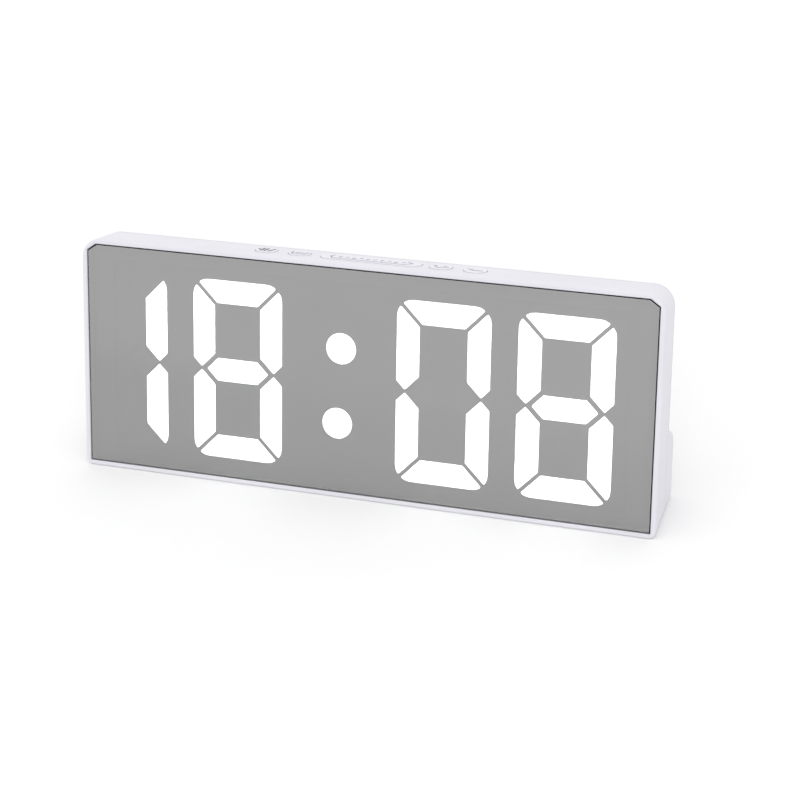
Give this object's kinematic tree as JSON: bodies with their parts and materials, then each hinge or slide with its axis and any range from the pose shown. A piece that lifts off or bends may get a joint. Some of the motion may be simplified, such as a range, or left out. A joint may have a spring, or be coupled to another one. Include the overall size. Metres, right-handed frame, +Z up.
{
  "type": "digital alarm clock",
  "caption": "Slim leaning alarm clock: white plastic case, grey half-mirror front, large white LED numerals, top keys and a battery door at the back.",
  "frame": {"origin": "middle of the sloped underside that the clock stands on", "axes": "+Z up, +X to the right seen from the front, +Y to the back; the face leans back 17 degrees"},
  "size_m": [0.1622, 0.0306, 0.0611],
  "materials": {
    "white_shell": "moulded ABS, satin, cool white",
    "white_key": "moulded ABS, satin, cool white, printed marks",
    "plated_screw": "zinc-plated steel",
    "half_mirror": "half-silvered acrylic, neutral grey",
    "black_tape": "black foam tape",
    "light_block": "moulded light block, dark front face",
    "lit_diffuser": "milky diffuser, lit from behind",
    "dark_diffuser": "milky diffuser behind the mirror, unlit",
    "circuit_board": "glass-epoxy board, green solder mask",
    "led_package": "white ceramic package with yellow phosphor",
    "black_epoxy": "black moulded epoxy",
    "tinned_steel": "bright nickel or tin plate",
    "capacitor_ceramic": "tan ceramic",
    "capacitor_sleeve": "shrink sleeve",
    "black_plastic": "black nylon",
    "plunger_plastic": "dark acetal",
    "cell_jacket": "plain printed jacket on a steel can",
    "red_insulation": "red PVC insulation",
    "black_insulation": "black PVC insulation"
  },
  "bodies": {
    "root": {"battery_cell_1": "cell_jacket", "battery_cell_2": "cell_jacket", "battery_cell_3": "cell_jacket", "battery_lead_black": "black_insulation", "battery_lead_red": "red_insulation", "board_screws": "plated_screw", "buzzer": "black_epoxy", "chip_capacitors": "capacitor_ceramic", "chip_resistors": "black_epoxy", "clock_crystal": "tinned_steel", "colon_dots": "lit_diffuser", "contact_plate": "tinned_steel", "contact_spring": "tinned_steel", "cover_screws": "plated_screw", "digit_segments_dark": "dark_diffuser", "digit_segments_lit": "lit_diffuser", "driver_chip": "black_epoxy", "front_frame": "white_shell", "led_chips": "led_package", "main_board": "circuit_board", "mirror_panel": "half_mirror", "mirror_tape": "black_tape", "rear_cover": "white_shell", "reflector_frame": "light_block", "reservoir_capacitor": "capacitor_sleeve", "switch_bodies": "black_plastic", "usb_socket": "tinned_steel", "usb_tongue": "black_plastic"},
    "key_mode": {"key_mode": "white_key", "plunger_mode": "plunger_plastic"},
    "key_set": {"key_set": "white_key", "plunger_set": "plunger_plastic"},
    "key_snooze": {"key_snooze": "white_key", "plunger_snooze": "plunger_plastic"},
    "key_up": {"key_up": "white_key", "plunger_up": "plunger_plastic"},
    "key_down": {"key_down": "white_key", "plunger_down": "plunger_plastic"},
    "door": {"battery_door": "white_shell"}
  },
  "joints": [
    {"name": "mode_press", "type": "slide", "parent": "root", "child": "key_mode", "axis": [0, -0.2924, -0.9563], "range_m": [0, 0.0003], "stiffness_N_per_m": 2000},
    {"name": "set_press", "type": "slide", "parent": "root", "child": "key_set", "axis": [0, -0.2924, -0.9563], "range_m": [0, 0.0003], "stiffness_N_per_m": 2000},
    {"name": "snooze_press", "type": "slide", "parent": "root", "child": "key_snooze", "axis": [0, -0.2924, -0.9563], "range_m": [0, 0.0003], "stiffness_N_per_m": 2500},
    {"name": "up_press", "type": "slide", "parent": "root", "child": "key_up", "axis": [0, -0.2924, -0.9563], "range_m": [0, 0.0003], "stiffness_N_per_m": 2000},
    {"name": "down_press", "type": "slide", "parent": "root", "child": "key_down", "axis": [0, -0.2924, -0.9563], "range_m": [0, 0.0003], "stiffness_N_per_m": 2000},
    {"name": "door_swing", "type": "hinge", "parent": "root", "child": "door", "pos_m": [0, 0.01118, 0.00238], "axis": [1, 0, 0], "range_deg": [-75, 0]}
  ]
}
